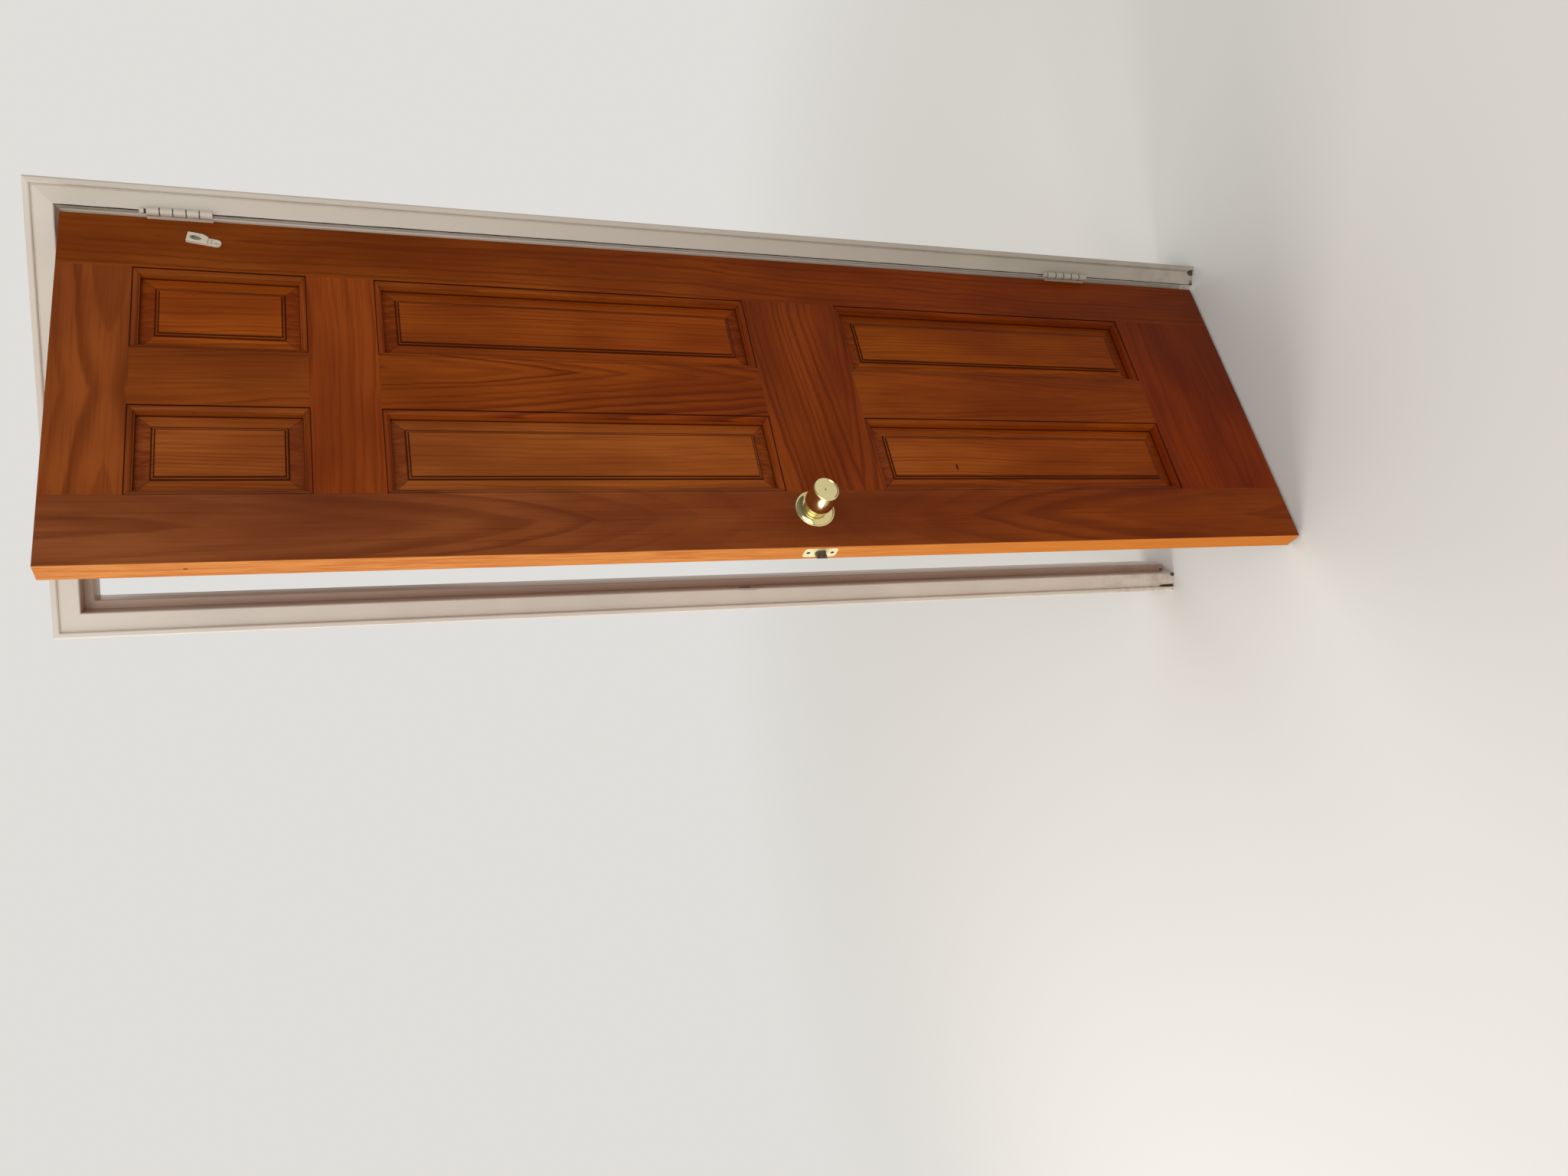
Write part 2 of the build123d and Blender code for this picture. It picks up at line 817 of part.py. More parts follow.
with BuildPart() as hinge_stile:
    edges = stile_edges(hinge_stile_width, (1, 0))
    make_member(0, hinge_stile_width, 0, leaf_height, edges)
    add(dowels.part, mode=Mode.SUBTRACT)
    cut_hinge_mortises()
save(hinge_stile, "hinge_stile")

with BuildPart() as latch_stile:
    edges = stile_edges(latch_stile_start, (-1, 0))
    make_member(latch_stile_start, leaf_width, 0, leaf_height, edges)
    add(dowels.part, mode=Mode.SUBTRACT)
    cut_latch_bores()
save(latch_stile, "latch_stile")

for name, (foot, head, upper) in rails.items():
    with BuildPart() as rail:
        edges = rail_edges(foot, head)
        make_member(hinge_stile_width, latch_stile_start, foot, head, edges)
        add(dowels.part, mode=Mode.SUBTRACT)
    save(rail, name)

for name, (low, high) in rows.items():
    with BuildPart() as mullion:
        edges = [
            ((mullion_start, low), (mullion_start, high), (-1, 0)),
            ((mullion_end, low), (mullion_end, high), (1, 0)),
        ]
        make_member(mullion_start, mullion_end, low, high, edges)
        add(dowels.part, mode=Mode.SUBTRACT)
    save(mullion, name + "_mullion")

# Raised panels: a tongue all round, a wide bevel and two small steps up to the field

first_step = bevel_start + bevel_width
second_step = first_step + step_width + ledge_width
panel_slopes = (
    (bevel_start, bevel_width, bevel_rise),
    (first_step, step_width, step_rise),
    (second_step, step_width, step_rise),
)

for row, (low, high) in rows.items():
    for column, (left, right) in columns.items():
        width = right - left
        height = high - low
        origin = leaf_at((left + right) / 2, (low + high) / 2, half_thickness)
        panel_plane = Plane(origin=origin, x_dir=leaf_plane.x_dir, z_dir=-leaf_plane.z_dir)
        with BuildPart() as panel:
            hold = groove_depth - tongue_clearance
            with BuildSketch(panel_plane) as tongue:
                Rectangle(width + 2 * hold, height + 2 * hold)
            extrude(tongue.sketch, amount=tongue_thickness / 2, both=True)
            rise = tongue_thickness / 2
            for inset, slope_width, slope_rise in panel_slopes:
                inner = inset + slope_width
                with BuildSketch(panel_plane.offset(rise)) as bottom:
                    Rectangle(width - 2 * inset, height - 2 * inset)
                rise += slope_rise
                with BuildSketch(panel_plane.offset(rise)) as top:
                    Rectangle(width - 2 * inner, height - 2 * inner)
                loft([bottom.sketch, top.sketch], ruled=True)
            mirror(about=panel_plane)
        save(panel, row + "_" + column + "_panel")

# Hinge and latch hardware on the leaf


def knob_axis(side):
    """The knob's axis, pointing out of the front face for side 1 and the back for -1."""
    deep = 0 if side > 0 else leaf_thickness
    return Axis(leaf_at(knob_across, knob_height, deep), leaf_way(0, 0, -side))


def profile_plane(side):
    """The plane of a turned profile: x is the radius and y the height above the face."""
    axis = knob_axis(side)
    return Plane(
        origin=axis.position, x_dir=leaf_plane.x_dir, z_dir=leaf_plane.x_dir.cross(axis.direction)
    )


def turn_rose(side):
    """Turns the dished cover plate: a rolled rim, a dome and a raised collar."""
    rim_end = rose_radius - rose_rim_width
    hole = neck_radius + neck_play
    with BuildSketch(profile_plane(side)) as profile:
        with BuildLine():
            Line((rose_radius, 0), (rose_radius, rose_rim_height / 2))
            ThreePointArc(
                (rose_radius, rose_rim_height / 2),
                (rose_radius - rose_rim_width / 3, rose_rim_height),
                (rim_end, rose_dome_start),
            )
            ThreePointArc(
                (rim_end, rose_dome_start),
                (
                    (rim_end + rose_collar_radius) / 2,
                    (rose_dome_start + rose_dome_height) / 2 + rose_sheet,
                ),
                (rose_collar_radius, rose_dome_height),
            )
            collar_fillet = (rose_height - rose_dome_height) / 2
            FilletPolyline(
                (rose_collar_radius, rose_dome_height),
                (rose_collar_radius, rose_height),
                (hole, rose_height),
                (hole, rose_height - rose_sheet),
                (rose_collar_radius - rose_sheet, rose_height - rose_sheet),
                (rose_collar_radius - rose_sheet, rose_dome_height - rose_sheet),
                radius=[collar_fillet, rose_edge_fillet, 0, collar_fillet / 2],
            )
            Polyline(
                (rose_collar_radius - rose_sheet, rose_dome_height - rose_sheet),
                (rim_end - rose_sheet, rose_dome_start - rose_sheet),
                (rose_radius - rose_sheet, rose_dome_start - rose_sheet),
                (rose_radius - rose_sheet, 0),
                (rose_radius, 0),
            )
        make_face()
    revolve(profile.sketch, axis=knob_axis(side))


def turn_knob(side):
    """Turns the tulip knob with its dished face, and its square socket."""
    foot = (leaf_thickness - chassis_length) / 2
    start = neck_play - foot
    rim_foot = knob_projection - knob_rim_height
    with BuildSketch(profile_plane(side)) as profile:
        with BuildLine():
            Polyline((0, start), (neck_radius, start), (neck_radius, knob_waist_height))
            belly = (knob_belly_radius, knob_belly_height)
            Spline((neck_radius, knob_waist_height), belly, tangents=((1, 0), (0, 1)))
            rim = (knob_rim_radius, rim_foot)
            Spline(belly, rim, tangents=((0, 1), (-knob_rim_taper, 1)))
            ThreePointArc(
                rim,
                (knob_rim_radius - knob_rim_corner, knob_projection - knob_rim_corner),
                (knob_rim_radius - knob_rim_width, knob_projection),
            )
            face = (knob_rim_radius - 2 * knob_rim_width, knob_projection - knob_dish / 2)
            centre = (0, knob_projection - knob_dish)
            Line((knob_rim_radius - knob_rim_width, knob_projection), face)
            TangentArc(centre, face, tangent=(1, 0))
            Line(centre, (0, start))
        make_face()
    revolve(profile.sketch, axis=knob_axis(side))
    origin = leaf_at(knob_across, knob_height, half_thickness)
    socket = Plane(origin=origin, x_dir=leaf_plane.x_dir, z_dir=knob_axis(side).direction)
    with BuildSketch(socket) as square:
        Rectangle(spindle_width + 2 * spindle_play, spindle_width + 2 * spindle_play)
    extrude(
        square.sketch,
        amount=half_thickness + start + spindle_overlap + spindle_play,
        mode=Mode.SUBTRACT,
    )


for side, place in ((1, "outside"), (-1, "inside")):
    with BuildPart() as rose:
        turn_rose(side)
    save(rose, place + "_rose")

    with BuildPart() as knob:
        turn_knob(side)
    save(knob, place + "_knob")

# Inside the latch stile: a drum round the spindle, whose finger draws the bolt's hooked tail

with BuildPart() as lock_chassis:
    spindle_hole = spindle_width / 2 * 2**0.5 + bolt_play
    with BuildSketch(middle_plane) as drum:
        with Locations((knob_across, knob_height)):
            Circle(chassis_radius)
    extrude(drum.sketch, amount=chassis_length / 2, both=True)
    with BuildSketch(middle_plane) as hollow:
        with Locations((knob_across, knob_height)):
            Circle(chassis_radius - chassis_wall)
    extrude(
        hollow.sketch, amount=chassis_length / 2 - chassis_wall, both=True, mode=Mode.SUBTRACT
    )
    with BuildSketch(middle_plane) as hole:
        with Locations((knob_across, knob_height)):
            Circle(spindle_hole)
    extrude(hole.sketch, amount=chassis_length / 2, both=True, mode=Mode.SUBTRACT)
    with BuildSketch(edge_plane(knob_across)) as slot:
        Circle(case_inner_radius)
    extrude(slot.sketch, amount=chassis_radius, mode=Mode.SUBTRACT)
save(lock_chassis, "lock_chassis")

with BuildPart() as spindle:
    foot = (leaf_thickness - chassis_length) / 2
    reach = half_thickness - foot + neck_play + spindle_overlap
    with BuildSketch(middle_plane) as square:
        with Locations((knob_across, knob_height)):
            Rectangle(spindle_width, spindle_width)
    extrude(square.sketch, amount=reach, both=True)
    with BuildSketch(middle_plane) as finger:
        with Locations((knob_across, knob_height)):
            Rectangle(
                finger_width,
                finger_radius,
                rotation=finger_lean,
                align=(Align.CENTER, Align.MAX),
            )
    extrude(finger.sketch, amount=finger_width / 2, both=True)
save(spindle, "spindle")

with BuildPart() as latch_bolt:
    tip = leaf_width + bolt_throw
    with BuildSketch(edge_plane(tip)) as section:
        bolt_outline()
    extrude(section.sketch, amount=-bolt_length)
    bevel_plane = Plane(
        origin=leaf_at(leaf_width, knob_height, half_thickness),
        x_dir=leaf_way(1, 0, 0),
        z_dir=leaf_way(0, -1, 0),
    )
    with BuildSketch(bevel_plane) as bevel:
        side = bolt_width / 2
        Polygon(
            (bolt_throw - bolt_bevel, side + 1),
            (bolt_throw - bolt_bevel, side),
            (bolt_throw + 1, side - bolt_bevel),
            (bolt_throw + 1, side + 1),
            align=None,
        )
    extrude(bevel.sketch, amount=bolt_height, both=True, mode=Mode.SUBTRACT)
    lean = radians(finger_lean)
    finger_back = hook_plate_drop * tan(lean) - finger_width / 2 / cos(lean)
    hook_face = knob_across + finger_back - tail_slack
    hook_back = hook_face - tail_thickness
    with BuildSketch(edge_plane(hook_back)) as tail:
        with Locations((-tail_drop, tail_thickness)):
            Rectangle(tail_height, tail_thickness, align=(Align.MAX, Align.MIN))
    extrude(tail.sketch, amount=tip - bolt_length - hook_back)
    with BuildSketch(edge_plane(hook_back)) as hook_plate:
        with Locations((-tail_drop, tail_thickness)):
            arm_height = hook_plate_drop + hook_plate_height - tail_drop
            Rectangle(arm_height, tail_thickness, align=(Align.MAX, Align.MIN))
        with Locations((-hook_plate_drop, -finger_width / 2)):
            plate_width = finger_width / 2 + 2 * tail_thickness
            Rectangle(hook_plate_height, plate_width, align=(Align.MAX, Align.MIN))
    extrude(hook_plate.sketch, amount=tail_thickness)
save(latch_bolt, "latch_bolt")

with BuildPart() as latch_case:
    with BuildSketch(edge_plane(leaf_width - faceplate_thickness)) as tube:
        Circle(case_radius)
        Circle(case_inner_radius, mode=Mode.SUBTRACT)
    extrude(tube.sketch, amount=faceplate_thickness - case_length)
save(latch_case, "latch_case")

with BuildPart() as latch_faceplate:
    with BuildSketch(edge_plane(leaf_width)) as plate:
        faceplate_outline()
        RectangleRounded(
            bolt_height + 2 * bolt_play,
            bolt_width + 2 * bolt_play,
            bolt_corner,
            mode=Mode.SUBTRACT,
        )
    extrude(plate.sketch, amount=-faceplate_thickness)
    for spot in faceplate_screw_planes():
        sink_hole(spot, small_screw_head_radius, small_screw_radius, faceplate_thickness)
save(latch_faceplate, "latch_faceplate")

with BuildPart() as faceplate_screws:
    for spot in faceplate_screw_planes():
        drive_screw(spot, small_screw_head_radius, small_screw_radius, faceplate_screw_length)
save(faceplate_screws, "faceplate_screws")

# Adhesive hook: a stout body with an oval dent, and a thin round-ended tongue below it

tilt = radians(hook_tilt)
hook_plane = Plane(
    origin=leaf_at(hook_from_edge, hook_top, 0),
    x_dir=leaf_way(-cos(tilt), -sin(tilt), 0),
    z_dir=leaf_way(0, 0, -1),
)
with BuildPart() as adhesive_hook:
    left = -hook_width / 2
    with BuildSketch(hook_plane) as body:
        Polygon(
            (left, 0),
            (-left, 0),
            (-left, hook_corner_cut - hook_body_height),
            (-left - hook_corner_cut / 2, -hook_body_height),
            (left, -hook_body_height),
            align=None,
        )
        fillet(body.vertices().sort_by(Axis.Y)[-2:], hook_edge_fillet)
    extrude(body.sketch, amount=hook_body_thickness)
    front = adhesive_hook.faces().sort_by(Axis(hook_plane.origin, hook_plane.z_dir))[-1]
    fillet(front.edges(), hook_edge_fillet)
    with BuildSketch(hook_plane) as tongue:
        with Locations((left, -hook_body_height)):
            Rectangle(
                hook_tongue_width,
                hook_tongue_height - hook_tongue_width / 2,
                align=(Align.MIN, Align.MAX),
            )
        round_end = hook_tongue_height - hook_tongue_width / 2
        with Locations((left + hook_tongue_width / 2, -hook_body_height - round_end)):
            Circle(hook_tongue_width / 2)
    extrude(tongue.sketch, amount=hook_tongue_thickness)
    with BuildSketch(hook_plane.offset(hook_body_thickness - hook_dent_depth)) as dent:
        with Locations((0, -hook_body_height / 2)):
            Ellipse(hook_dent_width / 2, hook_dent_height / 2)
    extrude(dent.sketch, amount=2 * hook_dent_depth, mode=Mode.SUBTRACT)
save(adhesive_hook, "adhesive_hook")
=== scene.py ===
import math
from collections import namedtuple

import bpy
from mathutils import Matrix, Vector

# A six-panel stained pine door ajar in its painted pressed-steel frame. Metres, +Z up.

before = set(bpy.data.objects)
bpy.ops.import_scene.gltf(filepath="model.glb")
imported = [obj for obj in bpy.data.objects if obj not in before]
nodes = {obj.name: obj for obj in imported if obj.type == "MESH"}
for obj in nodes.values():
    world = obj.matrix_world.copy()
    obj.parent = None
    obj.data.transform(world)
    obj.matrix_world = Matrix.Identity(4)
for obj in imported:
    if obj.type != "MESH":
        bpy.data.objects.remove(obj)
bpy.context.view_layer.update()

# The leaf's own frame at rest: across runs from the hinge edge to the free edge, front is 0 on
# the face toward the room and below zero behind it, and up starts at the leaf's foot.
LEAF_ORIGIN = (0.292410, -0.002690, 0.007)
LEAF_TURN = math.radians(216.8)
LEAF_WIDTH = 0.597
LEAF_THICKNESS = 0.035
PANEL_WIDTH = 0.1465
COLUMN_MIDDLE = 0.2945
COLUMN_OFFSET = 0.12325
ROWS = {"lower": (0.224, 0.829), "middle": (1.003, 1.605), "upper": (1.703, 1.935)}


def linear(red, green, blue):
    """A display colour from 0 to 255 as the linear one that Blender's sockets take."""
    values = []
    for value in (red, green, blue):
        share = value / 255
        values.append(share / 12.92 if share <= 0.04045 else ((share + 0.055) / 1.055) ** 2.4)
    return (*values, 1.0)


class Shader:
    """Builds one node tree; its methods add nodes and return their outputs."""

    def __init__(self, tree):
        self.tree = tree

    def add(self, kind, values=(), **settings):
        """Adds a node, with its settings, and links or sets its inputs by name or number."""
        node = self.tree.nodes.new("ShaderNode" + kind)
        for key, value in settings.items():
            setattr(node, key, value)
        for key, value in dict(values).items():
            socket = node.inputs[key]
            if isinstance(value, bpy.types.NodeSocket):
                self.tree.links.new(value, socket)
            elif value is not None:
                socket.default_value = value
        return node

    def math(self, operation, a, b=None, c=None):
        """One value worked out from up to three."""
        return self.add("Math", {0: a, 1: b, 2: c}, operation=operation).outputs[0]

    def times(self, a, b):
        """One value multiplied by another."""
        return self.math("MULTIPLY", a, b)

    def apart(self, a, b):
        """How far two values are apart."""
        return self.math("ABSOLUTE", self.math("SUBTRACT", a, b))

    def ramp(self, value, low, high, start=0.0, end=1.0):
        """A value carried smoothly from start to end while the input goes from low to high."""
        values = {"Value": value, 1: low, 2: high, 3: start, 4: end}
        return self.add("MapRange", values, interpolation_type="SMOOTHSTEP").outputs[0]

    def between(self, value, rise, fall):
        """1 between two soft edges and 0 outside them; each edge is where it starts and ends."""
        return self.times(self.ramp(value, *rise), self.ramp(value, *fall, 1.0, 0.0))

    def mix(self, factor, a, b, blend="MIX"):
        """One colour over another."""
        node = self.add("Mix", {0: factor, 6: a, 7: b}, data_type="RGBA", blend_type=blend)
        return node.outputs[2]

    def noise(self, vector, scale, detail=2.0, roughness=0.5):
        """Soft noise from 0 to 1 over a vector."""
        values = {"Vector": vector, "Scale": scale, "Detail": detail, "Roughness": roughness}
        return self.add("TexNoise", values).outputs["Fac"]

    def sway(self, vector, scale, reach, detail=2.0, roughness=0.5):
        """Soft noise from -reach to reach over a vector."""
        noise = self.noise(vector, scale, detail, roughness)
        return self.math("MULTIPLY_ADD", noise, 2 * reach, -reach)

    def oval(self, parts, centre, reach):
        """0 at an oval's centre, 1 on its edge and more outside it."""
        away = 0.0
        for part, middle, half in zip(parts, centre, reach):
            share = self.math("DIVIDE", self.math("SUBTRACT", part, middle), half)
            away = self.math("MULTIPLY_ADD", share, share, away)
        return away

    def map(self, vector, location=(0, 0, 0), rotation=(0, 0, 0), scale=(1, 1, 1), kind="POINT"):
        """A vector moved, turned and stretched."""
        values = {"Vector": vector, "Location": location, "Rotation": rotation, "Scale": scale}
        return self.add("Mapping", values, vector_type=kind).outputs[0]

    def split(self, vector):
        """The three parts of a vector."""
        return self.add("SeparateXYZ", {0: vector}).outputs

    def join(self, x, y, z):
        """A vector from its three parts."""
        return self.add("CombineXYZ", {0: x, 1: y, 2: z}).outputs[0]

    def place(self):
        """Where a point lies in the CAD's frame while the model is at rest."""
        return self.add("TexCoord").outputs["Object"]

    def leaf_place(self):
        """Where a point lies in the leaf's own frame: across, front and up."""
        return self.map(self.place(), LEAF_ORIGIN, (0, 0, LEAF_TURN), kind="TEXTURE")

    def bump(self, height, strength, distance):
        """A surface normal roughened by a height."""
        values = {"Height": height, "Strength": strength, "Distance": distance}
        return self.add("Bump", values).outputs[0]

    def finish(self, values):
        """The surface shader and the material's output."""
        surface = self.add("BsdfPrincipled", values)
        self.add("OutputMaterial", {"Surface": surface.outputs[0]})


def new_material(name):
    """An empty material and the builder of its nodes."""
    material = bpy.data.materials.new(name)
    material.use_nodes = True
    material.node_tree.nodes.clear()
    return material, Shader(material.node_tree)


def dress(name, material):
    """Gives a CAD node its material."""
    node = nodes[name]
    if not node.data.materials:
        node.data.materials.append(material)
    for slot in node.material_slots:
        slot.link = "OBJECT"
        slot.material = material


def spot(s, across, up, place, reach, lean=0.0):
    """A mask of one small oval mark, which may lean sideways: 1 in its middle, 0 outside."""
    shift = s.times(s.math("SUBTRACT", up, place[1]), lean)
    away = s.oval((s.math("SUBTRACT", across, shift), up), place, reach)
    return s.ramp(away, 0.5, 1.2, 1.0, 0.0)


# Stained pine: its light, middle and dark grain, the stain's pools with painted crease shade, the
# redder grain, the short wall at the moulding's foot painted lighter as fill light, and where it
# is chipped
STAIN_LIGHT = linear(146, 76, 30)
STAIN_MIDDLE = linear(122, 58, 20)
STAIN_DARK = linear(90, 36, 9)
STAIN_POOL_AND_SHADE = linear(46, 14, 4)
STAIN_RED = linear(96, 38, 16)
# Painted fill light for the shaded wall at the moulding's foot
STAIN_WALL_LIT = linear(142, 72, 28)
BARE_CHIP = linear(40, 14, 6)
# Painted light and shade on the stain: paler and cooler with painted sheen high up, deeper and
# more orange with painted shade low down, and darkest with painted shade in the lower corner
# beside the hinge edge
SHEEN_HIGH = (1.18, 1.20, 1.08, 1.0)
SHADE_LOW = (0.95, 0.60, 0.12, 1.0)
SHADED_CORNER = (0.68, 0.46, 0.10, 1.0)
# The leaf's free edge: wood with hardly any stain, painted paler for the strong light on it, and
# one nick: its front and up, and its reach
EDGE_LIGHT = linear(210, 137, 70)
EDGE_DARK = linear(184, 102, 38)
EDGE_LOW = linear(202, 115, 24)
EDGE_NICK = ((-0.016, 1.861), (0.0016, 0.0034))

# How far in from a panel opening's edge things lie, each between a soft start and a soft end:
# the moulding's foot, the short wall there, the panel's bevel, and the mitres over both
FOOT = ((0.0088, 0.0094), (0.0101, 0.0108))
WALL = ((0.0088, 0.0094), (0.0101, 0.0106))
BEVEL = ((0.0098, 0.0112), (0.0288, 0.0300))
MITRED = ((0.0000, 0.0006), (0.0292, 0.0300))
# The dark lines in the quirk and at the panel's two steps, pooled stain with painted shade: how far
# in, and half their width
DARK_LINES = ((0.0001, 0.0007), (0.0300, 0.0012), (0.0340, 0.0010))
# Where that wall meets the panel, as a front value
WALL_FOOT = -0.0140

# The grain is a tree's rings cut by the board. Their pith is a line along the member, and they
# show as nested arches where its depth changes. It has a middle across the member and a depth
# behind the face. With the way from the start along the member, the depth gains the slope
# times that way and loses the bend times its logarithm. Ring is a ring's width.
Figure = namedtuple("Figure", "middle depth slope bend start ring")
# A member's or panel's wood: whether the grain stands upright, its figure, the panel rows beside
# it, its tint (its own tone with painted sheen and shade), the seed that makes it its own, and
# how plain the rings are
Wood = namedtuple("Wood", "upright figure rows tint seed contrast")
# 2 would make the arches round; less makes them pointed
POINTED = 1.25
# How fine the wood's noises are, in lumps to the metre
FIBRE_SCALE = 1000.0
STREAK_SCALE = 230.0
TONE_SCALE = 13.0
CLOUD_SCALE = 5.0
END_SCALE = 140.0
EDGE_SCALE = 420.0


def ring_bands(s, side, along, front, figure, seed):
    """How dark the year rings are at a place across the grain, along it and behind the face."""
    reach = s.apart(along, figure.start)
    deep = s.math("MULTIPLY_ADD", reach, figure.slope, figure.depth)
    if figure.bend:
        far = s.math("LOGARITHM", s.math("ADD", reach, 0.03), math.e)
        deep = s.math("SUBTRACT", deep, s.times(far, figure.bend))
    deep = s.math("MAXIMUM", s.math("ADD", deep, front), 0.0)

    # How far the place is from the pith, which wanders, through rings that aren't quite even
    wander = s.sway(s.join(seed, along, 0.0), 1.3, 0.025)
    off = s.math("ADD", s.math("SUBTRACT", side, figure.middle), wander)
    off = s.math("POWER", s.math("ABSOLUTE", off), POINTED)
    radius = s.math("ADD", off, s.math("POWER", deep, POINTED))
    radius = s.math("POWER", radius, 1 / POINTED)
    drift = s.join(s.math("ADD", side, seed), front, s.times(along, 0.10))
    radius = s.math("ADD", radius, s.sway(drift, 17.0, 0.010))
    ripple = s.join(side, seed, s.times(along, 0.5))
    radius = s.math("ADD", radius, s.sway(ripple, 26.0, 0.003))

    years = s.math("DIVIDE", radius, figure.ring)
    uneven = s.noise(s.join(years, seed, 0.0), 0.6, 1.0)
    years = s.math("ADD", years, s.times(uneven, 1.8))
    weight = s.noise(s.join(s.math("FLOOR", years), seed, 3.0), 0.73, 0.0)
    band = s.between(s.math("FRACT", years), (0.30, 0.84), (0.88, 1.0))
    band = s.times(band, s.ramp(weight, 0.3, 0.7, 0.25, 1.0))
    if figure.bend:
        band = s.times(band, s.ramp(reach, 0.12, 0.42, 0.25, 1.0))
    return band


def opening_distances(s, across, up, rows):
    """How far a place is outside the nearest panel opening, sideways and in height, with less
    than zero inside it, and how far inside its edge it is."""
    column = s.apart(s.apart(across, COLUMN_MIDDLE), COLUMN_OFFSET)
    column = s.math("SUBTRACT", column, PANEL_WIDTH / 2)
    row = None
    for low, high in rows:
        distance = s.math("SUBTRACT", s.apart(up, (low + high) / 2), (high - low) / 2)
        row = distance if row is None else s.math("MINIMUM", row, distance)
    inside = s.times(s.math("MAXIMUM", column, row), -1.0)
    return column, row, inside


def pooled_stain_and_shade(s, front, column, row, inside):
    """A mask of where stain gathers and painted crease shade falls: at the moulding's foot, in its
    quirk, at the panel's steps and in the mitres."""
    low = s.ramp(front, WALL_FOOT, WALL_FOOT + 0.003, 1.0, 0.0)
    pool_and_shade = s.times(s.between(inside, *FOOT), low)
    for middle, half in DARK_LINES:
        line = s.ramp(s.apart(inside, middle), half * 0.4, half * 1.8, 1.0, 0.0)
        pool_and_shade = s.math("MAXIMUM", pool_and_shade, line)
    mitre = s.ramp(s.apart(row, column), 0.0002, 0.0012, 0.55, 0.0)
    return s.math("MAXIMUM", pool_and_shade, s.times(mitre, s.between(inside, *MITRED)))


def lit_stain(s, colour, across, up, tint):
    """A stain's colour with painted sheen and shade for a height and a place across, times the
    tint.
    """
    lighting = s.mix(s.ramp(up, 0.2, 1.9), SHADE_LOW, SHEEN_HIGH)
    corner = s.times(s.ramp(up, 1.2, 0.0), s.ramp(across, 0.45, 0.0))
    lighting = s.mix(corner, lighting, SHADED_CORNER)
    colour = s.mix(1.0, colour, lighting, "MULTIPLY")
    return s.mix(1.0, colour, (*tint, 1.0), "MULTIPLY")


def free_edge(s, colour, across, front, up, seed):
    """A colour with the pale wood of the leaf's free edge over it, painted paler for the strong
    light on the edge, with a painted highlight where it wraps onto the front's arris.
    """
    fibre = s.noise(s.join(front, seed, s.times(up, 0.03)), EDGE_SCALE, 3.0, 0.6)
    raw_and_lit = s.mix(s.ramp(fibre, 0.35, 0.7), EDGE_LIGHT, EDGE_DARK)
    raw_and_lit = s.mix(s.ramp(up, 1.3, 0.3, 0.0, 0.8), raw_and_lit, EDGE_LOW)
    raw_and_lit = s.mix(spot(s, front, up, *EDGE_NICK), raw_and_lit, BARE_CHIP)
    return s.mix(s.ramp(across, LEAF_WIDTH - 0.0010, LEAF_WIDTH - 0.0003), colour, raw_and_lit)


